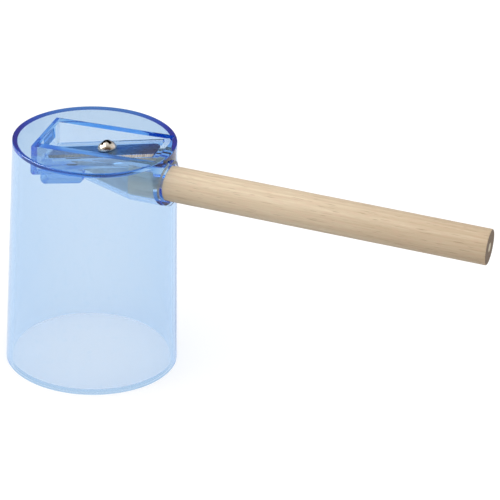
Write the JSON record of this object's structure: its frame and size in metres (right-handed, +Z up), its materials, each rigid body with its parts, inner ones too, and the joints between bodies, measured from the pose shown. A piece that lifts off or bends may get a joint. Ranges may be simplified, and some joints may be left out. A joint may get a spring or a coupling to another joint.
{
  "type": "canister pencil sharpener",
  "caption": "Hand canister pencil sharpener in clear blue plastic, with a steel blade in a sunken top pocket and a bare wooden pencil in its cone.",
  "frame": {"origin": "centre of the canister's foot, on the surface it stands on", "axes": "+Z up along the canister's axis, +X the way the pencil points"},
  "size_m": [0.1059, 0.0376, 0.0516],
  "materials": {
    "clear_blue_plastic": "clear pale blue moulded styrene, polished",
    "blade_steel": "ground and hardened carbon steel, fine grinding lines",
    "screw_nickel": "nickel-plated steel, bright",
    "bare_wood": "bare pale basswood, sanded, no lacquer",
    "core": "graphite and clay core, dull grey sheen"
  },
  "bodies": {
    "canister": {"canister": "clear_blue_plastic", "blade": "blade_steel", "blade_screw": "screw_nickel"},
    "base_disc": {"base_disc": "clear_blue_plastic"},
    "pencil_core": {"pencil_lead": "core"},
    "pencil_casing": {"pencil_slat_front": "bare_wood", "pencil_slat_back": "bare_wood"}
  },
  "joints": [
    {"name": "disc_pull", "type": "slide", "parent": "canister", "child": "base_disc", "axis": [0, 0, -1], "range_m": [0, 0.015]},
    {"name": "pencil_pull", "type": "slide", "parent": "canister", "child": "pencil_core", "axis": [0.9997, 0, -0.0227], "range_m": [0, 0.03]},
    {"name": "pencil_turn", "type": "hinge", "parent": "pencil_core", "child": "pencil_casing", "pos_m": [0.0175, -0.0015, 0.0452], "axis": [0.9997, 0, -0.0227], "continuous": true}
  ]
}
